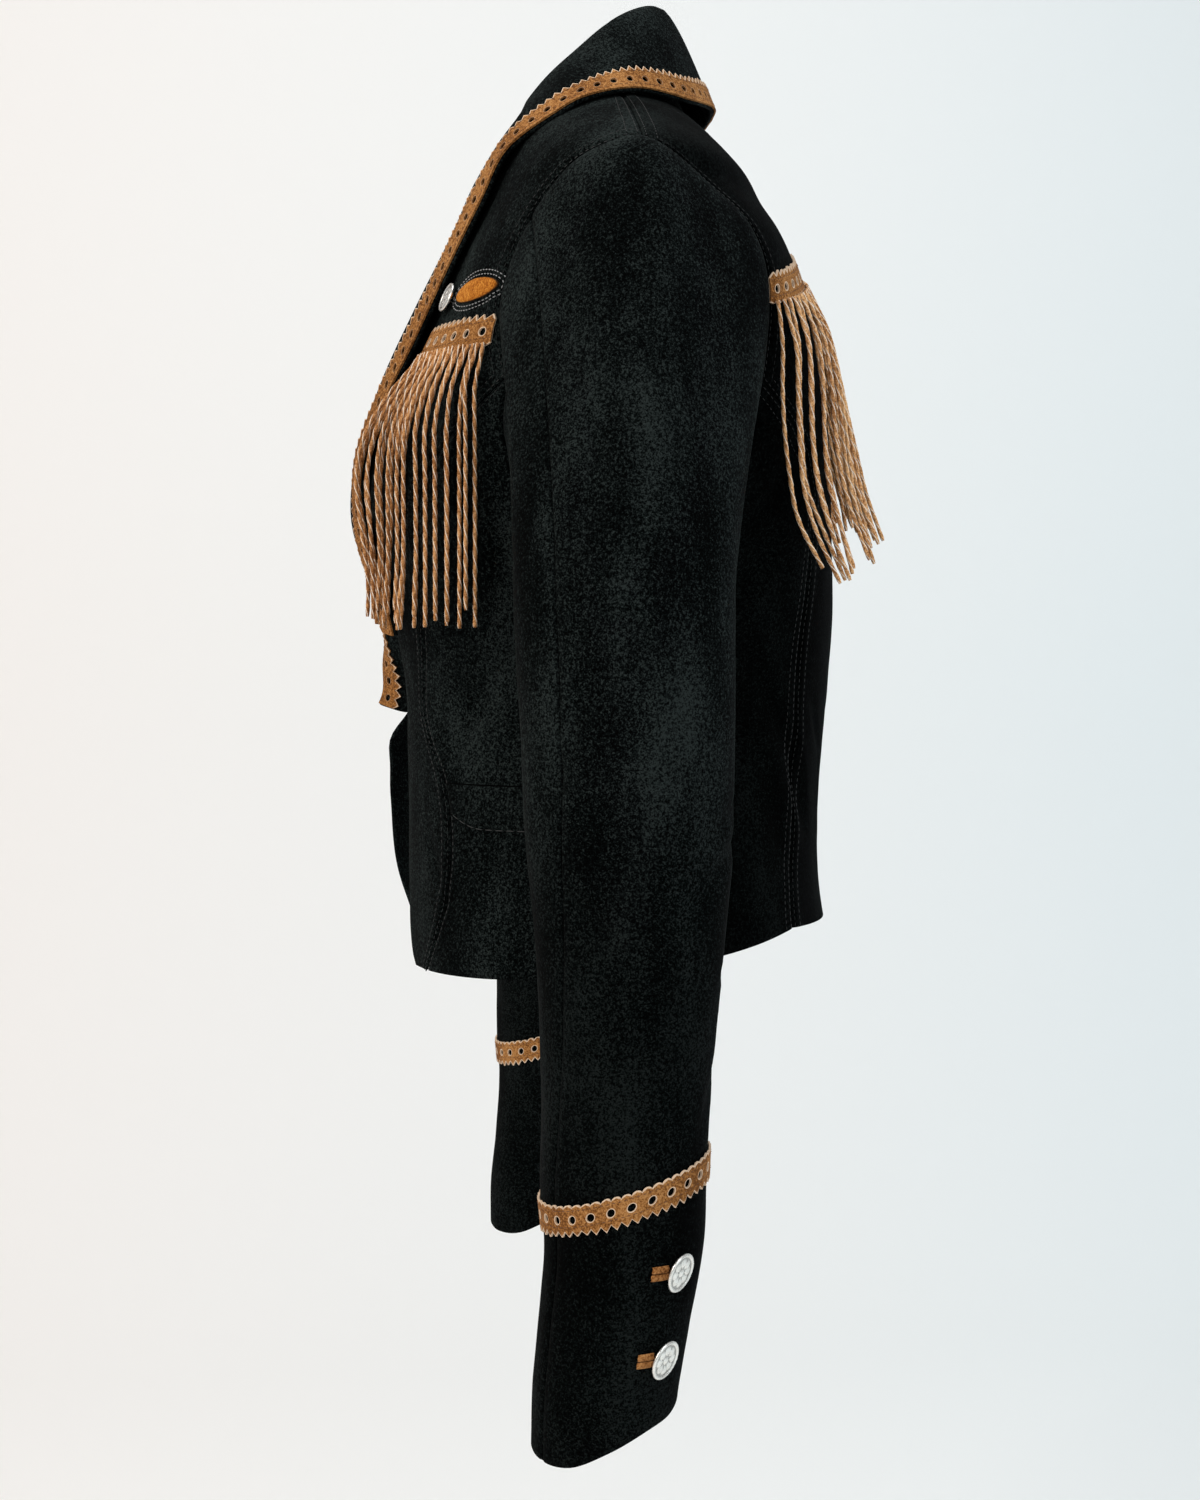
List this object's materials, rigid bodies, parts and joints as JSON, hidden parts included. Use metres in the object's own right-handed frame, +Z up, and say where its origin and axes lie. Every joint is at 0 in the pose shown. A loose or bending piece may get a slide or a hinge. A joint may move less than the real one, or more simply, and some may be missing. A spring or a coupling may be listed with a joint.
{
  "type": "fringed suede jacket",
  "caption": "Short open suede jacket in a western cut: shawl collar with perforated tan trim, yoke fringe front and back, oval chest insets, slanted cuffs with metal buttons.",
  "frame": {"origin": "middle plane between the two side-neck points, where the wearer's shoulders carry the garment", "axes": "+Z up, front of the garment to -Y, wearer's left to +X"},
  "size_m": [0.518, 0.297, 0.758],
  "materials": {
    "black_suede": "napped matt",
    "tan_suede": "napped matt",
    "brown_suede": "napped matt",
    "silver": "bright embossed"
  },
  "bodies": {
    "root": {"back": "black_suede", "back_fringe": "tan_suede", "back_strip": "tan_suede", "buttonhole_1_left": "brown_suede", "buttonhole_1_right": "brown_suede", "buttonhole_2_left": "brown_suede", "buttonhole_2_right": "brown_suede", "chest_button_left": "silver", "chest_button_right": "silver", "collar_left": "black_suede", "collar_right": "black_suede", "collar_trim_left": "tan_suede", "collar_trim_right": "tan_suede", "cuff_button_1_left": "silver", "cuff_button_1_right": "silver", "cuff_button_2_left": "silver", "cuff_button_2_right": "silver", "cuff_trim_inner_left": "tan_suede", "cuff_trim_inner_right": "tan_suede", "cuff_trim_outer_left": "tan_suede", "cuff_trim_outer_right": "tan_suede", "front_fringe_left": "tan_suede", "front_fringe_right": "tan_suede", "front_left": "black_suede", "front_right": "black_suede", "front_strip_left": "tan_suede", "front_strip_right": "tan_suede", "oval_inset_left": "brown_suede", "oval_inset_right": "brown_suede", "pocket_welt_left": "black_suede", "pocket_welt_right": "black_suede", "side_panel_left": "black_suede", "side_panel_right": "black_suede", "top_sleeve_left": "black_suede", "top_sleeve_right": "black_suede", "under_sleeve_left": "black_suede", "under_sleeve_right": "black_suede"}
  },
  "joints": []
}
